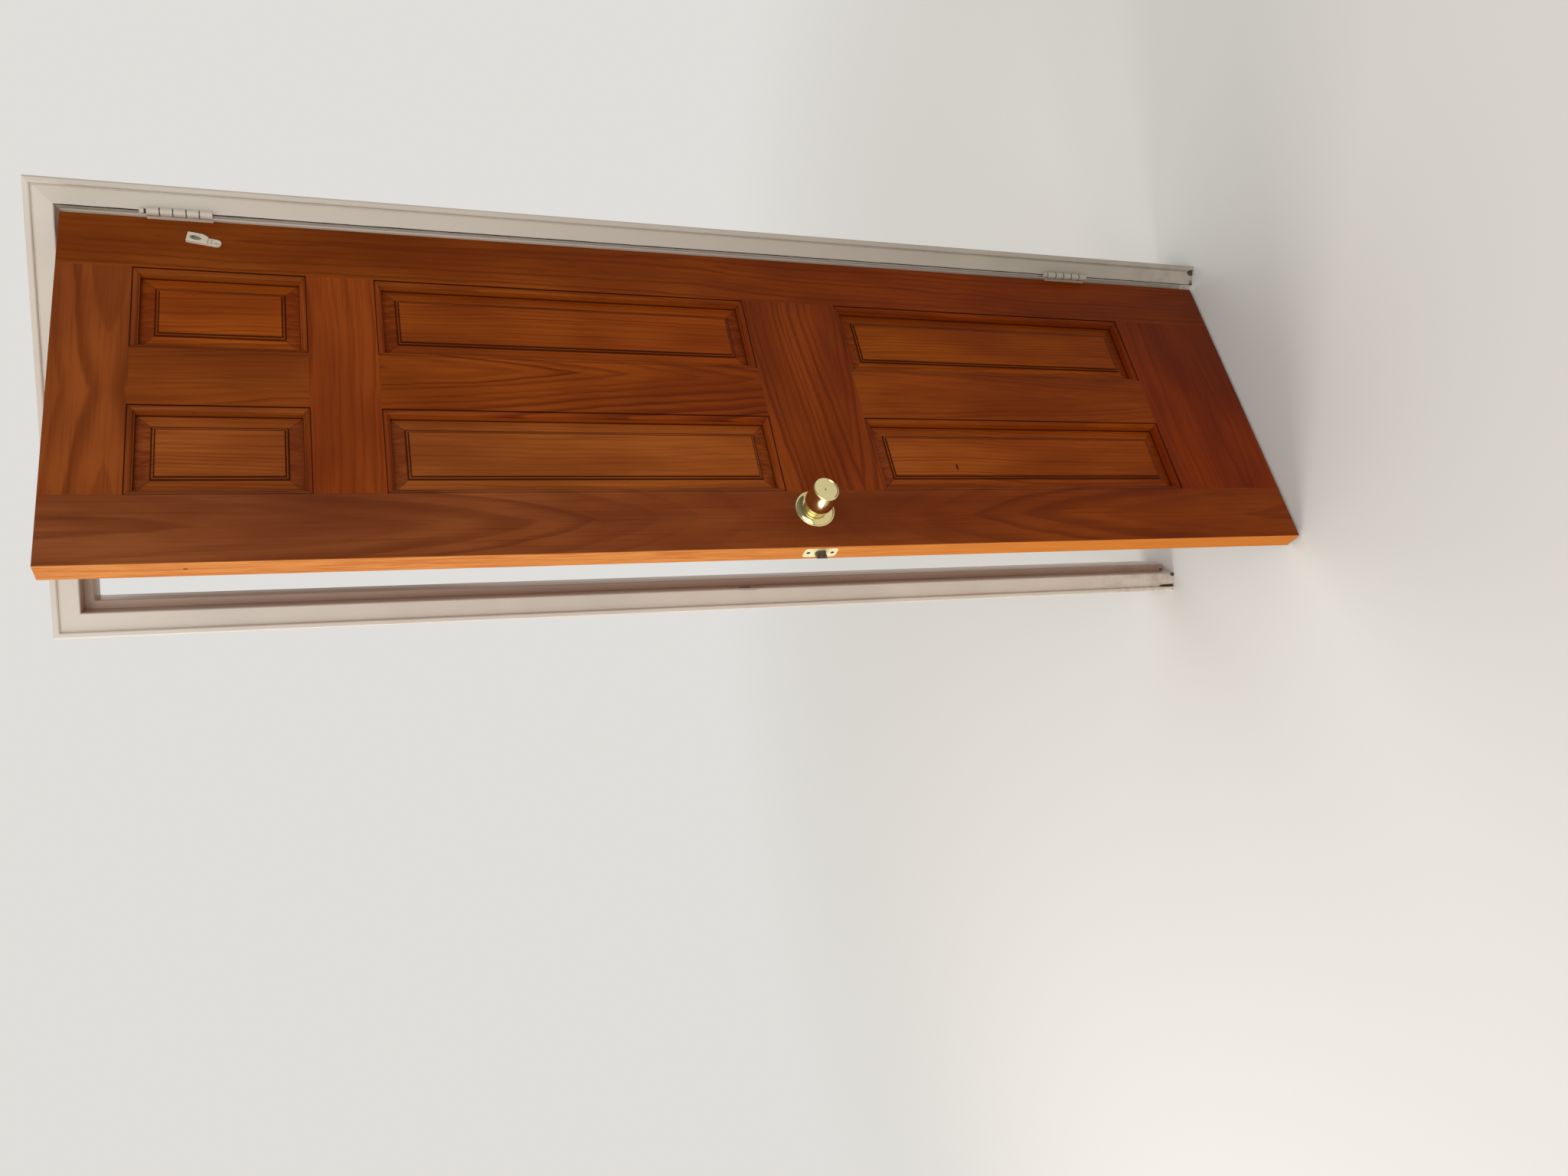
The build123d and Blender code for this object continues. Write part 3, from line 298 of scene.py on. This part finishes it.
def stained_pine(name, wood, marks=(), edge=False):
    """The wood of a member or panel. Marks are bare spots on its front, each a place, a reach
    and a lean; edge is for the member that has the leaf's free edge."""
    material, s = new_material(name)
    across, front, up = s.split(s.leaf_place())
    along, side = (up, across) if wood.upright else (across, up)
    seed = wood.seed

    # Rings, then streaks and fibres, which are long in the grain's direction
    band = ring_bands(s, side, along, front, wood.figure, seed)
    fibre_place = s.join(side, front, s.math("MULTIPLY_ADD", along, 0.025, seed))
    fibre = s.noise(fibre_place, FIBRE_SCALE, 2.0, 0.6)
    streak = s.noise(fibre_place, STREAK_SCALE, 3.0, 0.6)
    tone = s.noise(s.join(side, seed, s.times(along, 0.22)), TONE_SCALE, 3.0, 0.55)
    cloud = s.noise(s.join(side, seed + 5.0, s.times(along, 0.6)), CLOUD_SCALE)
    colour = s.mix(s.ramp(tone, 0.32, 0.68), STAIN_LIGHT, STAIN_MIDDLE)
    colour = s.mix(s.ramp(cloud, 0.42, 0.72, 0.0, 0.45), colour, STAIN_RED)
    colour = s.mix(s.times(band, wood.contrast), colour, STAIN_DARK)
    colour = s.mix(s.ramp(streak, 0.46, 0.76, 0.0, 0.42), colour, STAIN_DARK)
    colour = s.mix(s.ramp(streak, 0.24, 0.44, 0.22, 0.0), colour, STAIN_LIGHT)
    colour = s.mix(s.ramp(fibre, 0.48, 0.8, 0.0, 0.16), colour, STAIN_DARK)

    # The bevels across the grain drink more stain
    column, row, inside = opening_distances(s, across, up, wood.rows)
    if wood.upright:
        end_grain = s.times(s.between(inside, *BEVEL), s.math("GREATER_THAN", row, column))
        end_streak = s.noise(s.join(side, front, s.times(along, 0.3)), END_SCALE)
        end_grain = s.times(end_grain, s.ramp(end_streak, 0.3, 0.7, 0.35, 0.95))
        colour = s.mix(end_grain, colour, STAIN_RED)
    # Painted fill light: the short wall at the moulding's foot, which lies in shade, is painted
    # lighter
    colour = s.mix(s.between(inside, *WALL), colour, STAIN_WALL_LIT)
    # Pooled stain with painted crease shade in the quirk, at the steps, at the moulding's foot and
    # in the mitres
    pool_and_shade = pooled_stain_and_shade(s, front, column, row, inside)
    colour = s.mix(s.times(pool_and_shade, 0.9), colour, STAIN_POOL_AND_SHADE)
    # Painted sheen high up, painted shade low down and in the hinge side's lower corner
    colour = lit_stain(s, colour, across, up, wood.tint)

    for centre, reach, lean in marks:
        mark = spot(s, across, up, centre, reach, lean)
        mark = s.times(mark, s.math("GREATER_THAN", front, -LEAF_THICKNESS / 2))
        colour = s.mix(mark, colour, BARE_CHIP)
    # The free edge is painted paler for the light on it, with a painted highlight on the front's
    # arris
    if edge:
        colour = free_edge(s, colour, across, front, up, seed)

    grain = s.math("ADD", s.times(fibre, 0.5), s.times(streak, 0.5))
    s.finish({
        "Base Color": colour,
        "Roughness": s.math("MULTIPLY_ADD", streak, 0.14, 0.40),
        "Normal": s.bump(grain, 0.10, 0.0005),
        "Specular IOR Level": 0.07,
        "Coat Weight": 0.03,
        "Coat Roughness": 0.22,
    })
    return material


LOWER, MIDDLE, UPPER = ROWS["lower"], ROWS["middle"], ROWS["upper"]
ALL_ROWS = (LOWER, MIDDLE, UPPER)
MEMBERS = {
    "latch_stile": Wood(
        True, Figure(0.542, 0.053, 0.0, 0.073, 1.0, 0.022),
        ALL_ROWS, (0.94, 1.08, 1.90), 0.13, 0.5,
    ),
    "hinge_stile": Wood(
        True, Figure(0.030, 0.060, 0.010, 0.0, 0.3, 0.0085),
        ALL_ROWS, (0.94, 0.88, 0.46), 1.71, 0.5,
    ),
    "top_rail": Wood(
        False, Figure(1.960, 0.068, -0.110, 0.0, 0.32, 0.027),
        (UPPER,), (1.02, 0.99, 1.05), 3.2, 0.6,
    ),
    "frieze_rail": Wood(
        False, Figure(1.720, 0.020, 0.060, 0.0, 0.2, 0.013),
        (MIDDLE, UPPER), (1.00, 0.80, 0.63), 5.4, 0.5,
    ),
    "lock_rail": Wood(
        False, Figure(0.860, 0.030, 0.090, 0.0, 0.12, 0.011),
        (LOWER, MIDDLE), (0.93, 0.85, 0.85), 7.7, 0.6,
    ),
    "bottom_rail": Wood(
        False, Figure(0.070, 0.030, 0.080, 0.0, 0.35, 0.015),
        (LOWER,), (0.93, 0.78, 0.30), 9.3, 0.36,
    ),
    "upper_mullion": Wood(
        True, Figure(0.345, 0.080, 0.030, 0.0, 1.5, 0.008),
        (UPPER,), (0.87, 0.78, 0.59), 11.9, 0.5,
    ),
    "middle_mullion": Wood(
        True, Figure(0.268, 0.002, 0.110, 0.0, 1.66, 0.0125),
        (MIDDLE,), (1.06, 0.95, 0.52), 13.1, 0.9,
    ),
    "lower_mullion": Wood(
        True, Figure(0.290, 0.010, 0.060, 0.0, 0.9, 0.010),
        (LOWER,), (1.09, 1.22, 0.98), 15.5, 0.5,
    ),
}
for name, wood in MEMBERS.items():
    dress(name, stained_pine("pine_" + name, wood, edge=name == "latch_stile"))

# A panel's pith lies toward the leaf's middle from the panel's own, and starts below it
PITH_INWARD = 0.065
PITH_BELOW = 0.2
# Each panel's tint, which is its own tone with painted sheen and shade, and its marks
PANELS = {
    "lower_hinge_panel": ((1.36, 1.66, 0.60), ()),
    "lower_latch_panel": ((1.33, 1.70, 2.20), (((0.4385, 0.6738), (0.0066, 0.0019), 0.0),)),
    "middle_hinge_panel": ((1.14, 1.06, 0.60), ()),
    "middle_latch_panel": ((1.29, 1.52, 1.68), ()),
    "upper_hinge_panel": ((1.34, 1.20, 0.57), ()),
    "upper_latch_panel": ((1.21, 1.26, 1.31), ()),
}
for number, (name, (tint, marks)) in enumerate(PANELS.items()):
    row, column = name.split("_")[:2]
    outward = 1 if column == "latch" else -1
    middle = COLUMN_MIDDLE + outward * (COLUMN_OFFSET - PITH_INWARD)
    figure = Figure(middle, 0.050, 0.015, 0.0, ROWS[row][0] - PITH_BELOW, 0.007)
    wood = Wood(True, figure, (ROWS[row],), tint, 20.0 + 3.7 * number, 0.55)
    dress(name, stained_pine("pine_" + name, wood, marks))


# Frame paint: several thick coats on steel, worn through here and there
PAINT_PALE = linear(222, 214, 203)
PAINT_SHADE = linear(198, 189, 176)
PAINT_GRIME = linear(120, 108, 94)
PAINT_RABBET_SHADE = linear(165, 126, 96)
PAINT_HIGHLIGHT = linear(240, 237, 230)
PRIMER_CHIP = linear(58, 46, 38)
PAINTED_SHADE_DARK = linear(34, 30, 26)
# Painted shade: the hinge side and its hinges are painted darker, and darker still toward the foot.
# Painted light: the strike side is painted paler toward its foot
HINGE_SIDE_SHADED = linear(210, 202, 190)
HINGE_FOOT_SHADED = linear(168, 160, 148)
STRIKE_FOOT_LIT = linear(234, 224, 210)
# The rabbet's painted shade and reflected wood colour keep this near to the frame's middle and
# this low, and fade in and out at these depths behind the face
OPENING_HALF, OPENING_TOP = 0.3032, 2.0472
RABBET = ((0.003, 0.010), (0.060, 0.075))
# The hinge side's rabbet has a painted highlight this deep behind the face and out to this place
# across. A painted shadow line runs up the face beside it.
HIGHLIGHT_DEPTH = 0.018
HIGHLIGHT_SIDE = 0.303
SHADOW_LINE = (0.3012, 0.3034)
SHADOW_LINE_DEPTH = 0.003
# The hinge pins' line from above, and the reach of the dark lines round it
PIN_PLACE = (0.3005, -0.0110)
BARREL_REACH = 0.0068


def rabbet_shade_mask(s, x, y, z):
    """A mask of the painted shade and reflected wood colour in the rabbet, inside the frame's
    opening.
    """
    shaded = s.times(s.between(y, *RABBET), 0.6)
    shaded = s.times(shaded, s.math("LESS_THAN", s.math("ABSOLUTE", x), OPENING_HALF))
    return s.times(shaded, s.math("LESS_THAN", z, OPENING_TOP))


def rabbet_highlight(s, x, y):
    """A mask of the painted highlight in the hinge side's rabbet."""
    lit = s.between(y, (0.0002, 0.001), (HIGHLIGHT_DEPTH, HIGHLIGHT_DEPTH + 0.004))
    return s.times(lit, s.math("LESS_THAN", x, HIGHLIGHT_SIDE))


def shadow_line_mask(s, place, x, y):
    """A mask of the wavering painted shadow line up the face."""
    low, high = SHADOW_LINE
    waver = s.sway(s.map(place, scale=(1, 1, 0.3)), 60.0, 0.0008, 3.0, 0.6)
    off = s.math("ADD", s.apart(x, (low + high) / 2), waver)
    half = (high - low) / 2
    line = s.ramp(off, half - 0.0003, half + 0.0003, 1.0, 0.0)
    return s.times(line, s.math("LESS_THAN", y, SHADOW_LINE_DEPTH))


def gap_lines(s, x, y, z, gaps):
    """A mask of painted shade lines in the gaps round a hinge's barrel, each between two heights.
    """
    lines = 0.0
    for low, high in gaps:
        half = (high - low) / 2
        line = s.ramp(s.apart(z, (low + high) / 2), half, half + 0.0005, 0.95, 0.0)
        lines = s.math("MAXIMUM", line, lines)
    barrel = s.oval((x, y), PIN_PLACE, (BARREL_REACH, BARREL_REACH))
    return s.times(lines, s.math("LESS_THAN", barrel, 1.0))


def chip_mask(s, place, chips):
    """A mask of chips with ragged edges, along the feet and at the places given."""
    parts = s.split(place)
    threshold = s.ramp(parts["Z"], 0.0, 0.05, 0.62, 0.90)
    mask = s.math("GREATER_THAN", s.noise(place, 60.0, 4.0, 0.75), threshold)
    ragged = s.sway(place, 190.0, 0.7, 3.0, 0.7)
    for centre, reach in chips:
        away = s.math("ADD", s.oval(parts, centre, reach), ragged)
        mask = s.math("MAXIMUM", mask, s.math("LESS_THAN", away, 1.0))
    return mask


def painted_steel(name, pale=PAINT_PALE, foot=PAINT_SHADE, chips=(), gaps=(), hinged=False):
    """Old gloss paint: uneven in tone, turning toward the foot to a colour painted for the light or
    shade there, orange-peeled, dirty low down, with painted shade and reflected wood colour in the
    rabbet and painted shade in the gaps at the heights given, and chipped in places. Hinged is for
    the jamb with the hinges, which has a painted shadow line up its face and a painted highlight in
    its rabbet instead."""
    material, s = new_material(name)
    place = s.place()
    x, y, z = s.split(place)
    cloud = s.noise(place, 5.0, 3.0, 0.6)
    # Toward the foot the colour turns to one painted for the light or shade there
    colour = s.mix(s.ramp(z, 1.7, 0.2), pale, foot)
    colour = s.mix(s.ramp(cloud, 0.35, 0.75, 0.0, 0.4), colour, PAINT_SHADE)
    dirt = s.ramp(s.noise(place, 24.0, 4.0, 0.7), 0.35, 0.7)
    colour = s.mix(s.times(dirt, s.ramp(z, 0.0, 0.30, 0.45, 0.0)), colour, PAINT_GRIME)
    if hinged:
        # Painted highlight in the hinge side's rabbet
        colour = s.mix(rabbet_highlight(s, x, y), colour, PAINT_HIGHLIGHT)
        # Painted shadow line up the face beside the rabbet
        colour = s.mix(shadow_line_mask(s, place, x, y), colour, PAINTED_SHADE_DARK)
    else:
        # Painted shade and wood colour reflected into the rabbet
        colour = s.mix(rabbet_shade_mask(s, x, y, z), colour, PAINT_RABBET_SHADE)
    # Painted shade in the gaps round the barrel
    if gaps:
        colour = s.mix(gap_lines(s, x, y, z, gaps), colour, PAINTED_SHADE_DARK)
    chip = chip_mask(s, place, chips)
    colour = s.mix(chip, colour, PRIMER_CHIP)

    peel = s.noise(s.map(place, scale=(1, 1, 0.5)), 240.0, 2.0, 0.5)
    brushed = s.noise(s.map(place, scale=(1, 1, 0.04)), 260.0, 2.0, 0.5)
    height = s.math("ADD", s.times(peel, 0.6), s.times(brushed, 0.4))
    height = s.math("ADD", height, s.times(cloud, 2.0))
    height = s.math("SUBTRACT", height, s.times(chip, 1.5))
    s.finish({
        "Base Color": colour,
        "Roughness": s.math("MULTIPLY_ADD", s.noise(place, 160.0), 0.15, 0.28),
        "Normal": s.bump(height, 0.25, 0.0006),
        "Specular IOR Level": 0.5,
    })
    return material


# Where the paint has come off, as a centre and a reach: the arris beside the strike and the feet
STRIKE_CHIPS = (
    ((-0.3018, 0.004, 0.974), (0.0030, 0.006, 0.011)),
    ((-0.304, -0.001, 0.004), (0.005, 0.004, 0.006)),
    ((-0.329, -0.001, 0.010), (0.003, 0.005, 0.030)),
)
HINGE_CHIPS = (
    ((0.327, -0.001, 0.004), (0.006, 0.005, 0.010)),
    ((0.303, -0.001, 0.003), (0.004, 0.004, 0.006)),
)
HINGE_FEET = (0.272, 1.8366)
HINGE_HEIGHT = 0.0889
KNUCKLES = 5
GAP_HALF = 0.0006
# Painted shade in the gaps between the knuckles
knuckle_gaps = []
for foot in HINGE_FEET:
    for number in range(1, KNUCKLES):
        height = foot + HINGE_HEIGHT * number / KNUCKLES
        knuckle_gaps.append((height - GAP_HALF, height + GAP_HALF))
# Painted shade in the gap under each pin's head. The upper pin stands further out of its barrel.
PIN_GAPS = ((1.9257, 1.9283), (0.3608, 0.3616))

strike_side = painted_steel("strike_side_paint", foot=STRIKE_FOOT_LIT, chips=STRIKE_CHIPS)
hinge_side = painted_steel("hinge_side_paint", HINGE_SIDE_SHADED, HINGE_FOOT_SHADED, HINGE_CHIPS, hinged=True)
head_paint = painted_steel("head_paint")
hinge_paint = painted_steel("hinge_paint", HINGE_SIDE_SHADED, HINGE_FOOT_SHADED, gaps=knuckle_gaps)
pin_paint = painted_steel("pin_paint", HINGE_SIDE_SHADED, HINGE_FOOT_SHADED, gaps=PIN_GAPS)


def plain_surface(name, colour_a, colour_b, rough, metallic=1.0, scale=90.0, scratches=0.05):
    """Metal or bare wood with a faint change of tone and fine scratches."""
    material, s = new_material(name)
    place = s.place()
    cloud = s.noise(place, scale)
    scratch = s.noise(s.map(place, scale=(1, 1, 0.08)), 1500.0, 2.0, 0.6)
    s.finish({
        "Base Color": s.mix(s.ramp(cloud, 0.3, 0.7), colour_a, colour_b),
        "Roughness": s.math("MULTIPLY_ADD", scratch, 0.06, rough),
        "Normal": s.bump(scratch, scratches, 0.0002),
        "Metallic": metallic,
    })
    return material


brass = plain_surface(
    "polished_brass", linear(248, 236, 180), linear(242, 228, 166), 0.13, scale=22.0, scratches=0.01
)
satin_brass = plain_surface(
    "satin_brass", linear(248, 240, 196), linear(240, 230, 180), 0.34, 0.30, scale=40.0
)
dark_steel = plain_surface("dark_steel", linear(116, 110, 98), linear(84, 78, 68), 0.30)
black_steel = plain_surface("black_steel", linear(34, 30, 22), linear(24, 20, 14), 0.45, 0.2)
bare_steel = plain_surface("bare_steel", linear(176, 176, 176), linear(150, 150, 150), 0.38)
dowel_wood = plain_surface("dowel_wood", linear(206, 170, 120), linear(188, 150, 100), 0.6, 0.0)

# The adhesive hook: ivory plastic with painted shade in its dent and grime on the tongue. Each
# mark has a place, a reach, a colour and a strength.
HOOK_UP = 1.851
HOOK_LEAN = -0.14
HOOK_PALE = linear(224, 214, 196)
HOOK_SMUDGE = linear(150, 142, 122)
HOOK_GRIME = linear(112, 112, 94)
HOOK_DENT = (0.0390, HOOK_UP + 0.002)
# The first two marks are painted shade in the dent; the others are grime
HOOK_MARKS = (
    (HOOK_DENT, (0.0046, 0.0086), linear(96, 92, 80), 1.0),
    (HOOK_DENT, (0.0030, 0.0066), linear(140, 138, 124), 1.0),
    ((0.0455, HOOK_UP - 0.0190), (0.0016, 0.0019), HOOK_GRIME, 0.7),
    ((0.0408, HOOK_UP - 0.0200), (0.0011, 0.0021), HOOK_GRIME, 0.7),
    ((0.0464, HOOK_UP - 0.0260), (0.0013, 0.0042), HOOK_GRIME, 0.7),
)
hook_plastic, s = new_material("hook_plastic")
hook_place = s.leaf_place()
hook_parts = s.split(hook_place)
smudge = s.ramp(s.noise(hook_place, 260.0, 3.0, 0.7), 0.55, 0.75, 0.0, 0.5)
colour = s.mix(smudge, HOOK_PALE, HOOK_SMUDGE)
for place, reach, shade, strength in HOOK_MARKS:
    mark = spot(s, hook_parts["X"], hook_parts["Z"], place, reach, HOOK_LEAN)
    colour = s.mix(s.times(mark, strength), colour, shade)
s.finish({"Base Color": colour, "Roughness": 0.4})

BY_MATERIAL = (
    (strike_side, ("strike_jamb",)),
    (hinge_side, ("hinge_jamb",)),
    (head_paint, ("head_jamb",)),
    (hinge_paint, (
        "top_hinge_frame_leaf", "bottom_hinge_frame_leaf", "top_hinge_door_leaf",
        "bottom_hinge_door_leaf", "frame_hinge_screws", "door_hinge_screws", "strike_plate",
    )),
    (pin_paint, ("top_hinge_pin", "bottom_hinge_pin")),
    (brass, ("outside_knob", "outside_rose", "inside_knob", "inside_rose")),
    (satin_brass, ("latch_faceplate",)),
    (dark_steel, ("latch_bolt", "latch_case", "spindle")),
    (black_steel, ("faceplate_screws",)),
    (bare_steel, (
        "top_hinge_reinforcement", "bottom_hinge_reinforcement", "hinge_floor_clip",
        "strike_floor_clip", "strike_box", "lock_chassis", "strike_screws",
    )),
    (dowel_wood, ("dowels",)),
    (hook_plastic, ("adhesive_hook",)),
)
for material, names in BY_MATERIAL:
    for name in names:
        dress(name, material)

# The floor keeps the door's shadow, and away from the door it fades into the backdrop. It
# throws back less light than it shows, and metal mirrors it nearly as bright as the backdrop.
BACKDROP = linear(224, 222, 218)
FLOOR_SEEN = linear(215, 213, 208)
FLOOR_BOUNCE = linear(172, 160, 144)
FLOOR_MIRRORED = 0.75
FLOOR_FADE = (1.2, 3.4)
FLOOR_RADIUS = 14
floor_material, s = new_material("studio_floor")
path = s.add("LightPath").outputs
floor_colour = s.mix(path["Is Camera Ray"], FLOOR_BOUNCE, FLOOR_SEEN)
surface = s.add("BsdfPrincipled", {"Base Color": floor_colour, "Roughness": 0.75})
shine = s.add("Emission", {"Color": BACKDROP, "Strength": 1.0})
distance = s.add("VectorMath", {0: s.place()}, operation="LENGTH").outputs["Value"]
fade = s.times(s.ramp(distance, *FLOOR_FADE), path["Is Camera Ray"])
mirrored = s.times(path["Is Glossy Ray"], FLOOR_MIRRORED)
blend = s.add("MixShader", {
    0: s.math("MAXIMUM", fade, mirrored), 1: surface.outputs[0], 2: shine.outputs[0],
})
s.add("OutputMaterial", {"Surface": blend.outputs[0]})
bpy.ops.mesh.primitive_circle_add(
    vertices=96, radius=FLOOR_RADIUS, fill_type="NGON", location=(0, 0, 0)
)
floor = bpy.context.object
floor.name = "studio_floor"
floor.data.materials.append(floor_material)

# The studio round the door is pale above and on the window's side and dimmer low down. Metal
# mirrors it dark on the side away from the window.
STUDIO_LOW = linear(120, 110, 98)
STUDIO_HIGH = linear(250, 249, 248)
STUDIO_WINDOW = linear(255, 252, 246)
STUDIO_DARK = linear(56, 48, 36)
STUDIO_STRENGTH = 0.75
world = bpy.data.worlds.new("studio")
bpy.context.scene.world = world
world.use_nodes = True
world.node_tree.nodes.clear()
s = Shader(world.node_tree)
way = s.split(s.add("TexCoord").outputs["Generated"])
studio = s.mix(s.ramp(way["Z"], -0.25, 0.75), STUDIO_LOW, STUDIO_HIGH)
window = s.times(s.ramp(way["X"], -0.2, -0.8), s.ramp(way["Z"], -0.3, 0.1))
studio = s.mix(window, studio, STUDIO_WINDOW)
path = s.add("LightPath").outputs
mirrored = s.mix(s.ramp(way["X"], -0.1, 0.5, 0.0, 0.75), studio, STUDIO_DARK)
studio = s.mix(path["Is Glossy Ray"], studio, mirrored)
seen = s.math("MAXIMUM", path["Is Camera Ray"], path["Is Transmission Ray"])
soft = s.add("Background", {"Color": studio, "Strength": STUDIO_STRENGTH})
backdrop = s.add("Background", {"Color": BACKDROP, "Strength": 1.0})
shown = s.add("MixShader", {0: seen, 1: soft.outputs[0], 2: backdrop.outputs[0]})
s.add("OutputWorld", {"Surface": shown.outputs[0]})


def area_light(name, place, target, size, power, colour):
    """A soft oblong lamp that looks at a point."""
    lamp = bpy.data.lights.new(name, "AREA")
    lamp.shape = "RECTANGLE"
    lamp.size, lamp.size_y = size
    lamp.energy = power
    lamp.color = colour
    holder = bpy.data.objects.new(name, lamp)
    bpy.context.scene.collection.objects.link(holder)
    holder.location = place
    holder.rotation_euler = (Vector(target) - Vector(place)).to_track_quat("-Z", "Y").to_euler()


area_light("window_side", (-3.2, -0.6, 1.8), (-0.1, -0.1, 1.1), (1.1, 2.0), 54, (1.0, 0.97, 0.93))
area_light("front_fill", (0.0, -3.9, 2.4), (0, 0, 1.0), (3.8, 2.8), 66, (1.0, 0.99, 0.97))
area_light("top_fill", (0.6, 2.6, 3.6), (0, 0, 1.2), (3.0, 3.0), 30, (1.0, 1.0, 1.0))

# The camera stands where the photograph's stood. It was turned a quarter, so its right is the
# door's down.
CAMERA_PLACE = (0.02244, -2.12224, 1.70578)
CAMERA_YAW, CAMERA_PITCH, CAMERA_ROLL = -0.15342, 0.38446, 0.03803
FOCAL_PIXELS = 1593.6
OFF_CENTRE_PIXELS = 39.5
IMAGE_WIDTH = 2048
SENSOR_WIDTH = 36.0


def camera_axes(yaw, pitch, roll):
    """The directions to the door's right, down and away in the upright picture."""
    away = Vector((
        math.sin(yaw) * math.cos(pitch), math.cos(yaw) * math.cos(pitch), -math.sin(pitch)
    ))
    right = Vector((math.cos(yaw), -math.sin(yaw), 0))
    down = away.cross(right)
    turned = right * math.cos(roll) + down * math.sin(roll)
    return turned, down * math.cos(roll) - right * math.sin(roll), away


right, down, away = camera_axes(CAMERA_YAW, CAMERA_PITCH, CAMERA_ROLL)
view = bpy.data.cameras.new("photo_view")
view.sensor_width = SENSOR_WIDTH
view.lens = FOCAL_PIXELS / IMAGE_WIDTH * SENSOR_WIDTH
view.shift_x = -OFF_CENTRE_PIXELS / IMAGE_WIDTH
view.clip_start, view.clip_end = 0.05, 100
camera = bpy.data.objects.new("photo_view", view)
bpy.context.scene.collection.objects.link(camera)
turn = Matrix((down, right, -away)).transposed().to_4x4()
camera.matrix_world = Matrix.Translation(CAMERA_PLACE) @ turn
bpy.context.scene.camera = camera
bpy.context.scene.view_settings.view_transform = "Standard"
